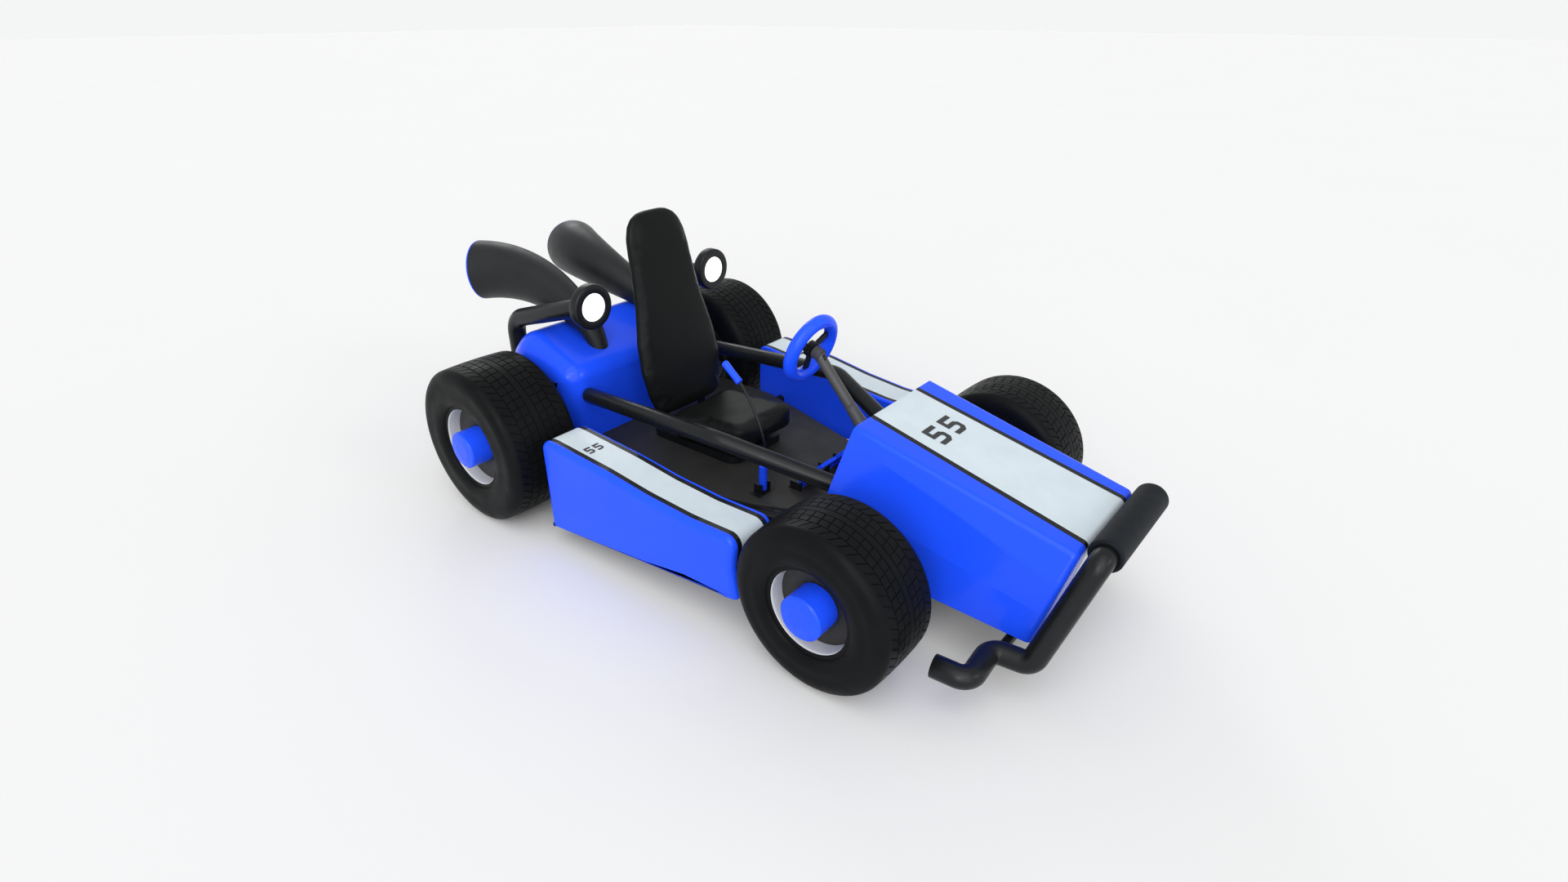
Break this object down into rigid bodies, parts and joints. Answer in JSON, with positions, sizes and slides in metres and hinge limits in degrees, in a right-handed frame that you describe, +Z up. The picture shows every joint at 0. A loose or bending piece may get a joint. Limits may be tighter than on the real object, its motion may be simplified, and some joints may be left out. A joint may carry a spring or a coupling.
{
  "type": "kart chassis",
  "caption": "Ride-on kart chassis with wedge nose, side pods, high-backed seat, rack steering, live rear axle, chain-driven engine cowl, twin horn exhausts and lamps.",
  "frame": {"origin": "on the ground, below the centre of the whole kart's box", "axes": "+Z up, nose towards -Y, +X to the driver's left"},
  "size_m": [1.308, 2.357, 0.9189],
  "materials": {
    "blue_gelcoat": "glossy pigmented moulding, blue with a white stripe between black borders",
    "blue_paint": "gloss blue paint",
    "black_tube": "satin black powder coat",
    "tyre_rubber": "moulded tread rubber",
    "white_paint": "gloss white wheel paint",
    "black_vinyl": "smooth black seat vinyl",
    "black_plastic": "matte black moulding",
    "foam_grip": "dense black foam",
    "grey_tube": "satin mid-grey paint",
    "steel": "machined steel",
    "zinc": "zinc-plated",
    "cast_alloy": "sand-cast alloy",
    "brake_iron": "turned iron",
    "lamp_glass": "frosted white lens, lit"
  },
  "bodies": {
    "chassis": {"chassis_frame": "black_tube", "floor_tray": "black_plastic", "nose_fairing": "blue_gelcoat", "side_pod_left": "blue_gelcoat", "side_pod_right": "blue_gelcoat", "rear_cowl": "blue_gelcoat", "seat_frame": "black_plastic", "seat_cushion": "black_vinyl", "seat_back": "black_vinyl", "brace_rail_left": "black_tube", "brace_rail_right": "black_tube", "bumper_tube": "black_tube", "bumper_sleeve": "foam_grip", "lamp_post_left": "black_tube", "lamp_post_right": "black_tube", "lamp_housings": "black_tube", "lamp_lenses": "lamp_glass", "exhaust_pipe_left": "black_tube", "exhaust_pipe_right": "black_tube", "exhaust_liners": "blue_paint", "engine_block": "cast_alloy", "engine_head": "cast_alloy", "carburettor": "cast_alloy", "fuel_tank": "black_plastic", "axle_bearings": "cast_alloy", "brake_caliper": "cast_alloy", "drive_chain": "steel", "pedal_bracket": "black_tube", "steering_column": "grey_tube", "steering_boot": "grey_tube", "front_beam": "black_tube", "kingpins": "steel", "lever_pivot": "black_tube", "panel_bolts": "zinc"},
    "steering_wheel": {"steering_ring": "blue_paint", "steering_hub": "black_tube"},
    "steering_shaft": {"steering_shaft": "steel"},
    "steering_rack": {"steering_rack": "steel", "tie_rods": "steel"},
    "knuckle_left": {"knuckle_left": "steel"},
    "knuckle_right": {"knuckle_right": "steel"},
    "front_wheel_left": {"front_tyre_left": "tyre_rubber", "front_rim_left": "white_paint", "front_hub_left": "blue_paint"},
    "front_wheel_right": {"front_tyre_right": "tyre_rubber", "front_rim_right": "white_paint", "front_hub_right": "blue_paint"},
    "rear_axle": {"rear_axle": "steel", "rear_tyre_left": "tyre_rubber", "rear_tyre_right": "tyre_rubber", "rear_rim_left": "white_paint", "rear_rim_right": "white_paint", "rear_hubs": "blue_paint", "axle_sprocket": "steel", "brake_disc": "brake_iron"},
    "engine_sprocket": {"engine_sprocket": "steel"},
    "brake_pedal": {"brake_pedal": "blue_paint"},
    "throttle_pedal": {"throttle_pedal": "blue_paint"},
    "hand_lever": {"lever_rod": "black_tube", "lever_grip": "blue_paint"}
  },
  "joints": [
    {"name": "front_left_steer", "type": "hinge", "parent": "chassis", "child": "knuckle_left", "pos_m": [0.406, -0.6185, 0.227], "axis": [0, 0, 1], "range_deg": [-15, 15]},
    {"name": "front_right_steer", "type": "hinge", "parent": "chassis", "child": "knuckle_right", "pos_m": [-0.406, -0.6185, 0.227], "axis": [0, 0, 1], "range_deg": [-15.5, 15.5]},
    {"name": "steering_wheel_turn", "type": "hinge", "parent": "chassis", "child": "steering_wheel", "pos_m": [0, -0.1955, 0.609], "axis": [0, 0.9516, 0.3074], "range_deg": [-93, 93]},
    {"name": "steering_shaft_turn", "type": "hinge", "parent": "chassis", "child": "steering_shaft", "pos_m": [0, -0.22215, 0.60039], "axis": [0, 0.6723, 0.7402], "range_deg": [-93, 93]},
    {"name": "rack_slide", "type": "slide", "parent": "chassis", "child": "steering_rack", "axis": [1, 0, 0], "range_m": [-0.02033, 0.02033]},
    {"name": "front_left_spin", "type": "hinge", "parent": "knuckle_left", "child": "front_wheel_left", "pos_m": [0.461, -0.6185, 0.227], "axis": [1, 0, 0], "continuous": true},
    {"name": "front_right_spin", "type": "hinge", "parent": "knuckle_right", "child": "front_wheel_right", "pos_m": [-0.461, -0.6185, 0.227], "axis": [1, 0, 0], "continuous": true},
    {"name": "rear_axle_spin", "type": "hinge", "parent": "chassis", "child": "rear_axle", "pos_m": [0, 0.6615, 0.254], "axis": [1, 0, 0], "continuous": true},
    {"name": "engine_sprocket_spin", "type": "hinge", "parent": "chassis", "child": "engine_sprocket", "pos_m": [0.185, 0.6115, 0.385], "axis": [1, 0, 0], "continuous": true},
    {"name": "throttle_press", "type": "hinge", "parent": "chassis", "child": "throttle_pedal", "pos_m": [-0.069, -0.2405, 0.219], "axis": [1, 0, 0], "range_deg": [0, 18], "stiffness_Nm_per_rad": 4, "springref_deg": -6.88},
    {"name": "brake_press", "type": "hinge", "parent": "chassis", "child": "brake_pedal", "pos_m": [0.069, -0.2405, 0.219], "axis": [1, 0, 0], "range_deg": [0, 18], "stiffness_Nm_per_rad": 8, "springref_deg": -6.88},
    {"name": "hand_lever_pull", "type": "hinge", "parent": "chassis", "child": "hand_lever", "pos_m": [-0.18, -0.1595, 0.222], "axis": [1, 0, 0], "range_deg": [-12, 12]}
  ],
  "couplings": [
    {"joint": "front_right_steer", "follows": "front_left_steer", "ratio": 1},
    {"joint": "steering_wheel_turn", "follows": "front_left_steer", "ratio": 6},
    {"joint": "steering_shaft_turn", "follows": "front_left_steer", "ratio": 6},
    {"joint": "rack_slide", "follows": "front_left_steer", "m_per_rad": -0.075},
    {"joint": "engine_sprocket_spin", "follows": "rear_axle_spin", "ratio": 3}
  ]
}
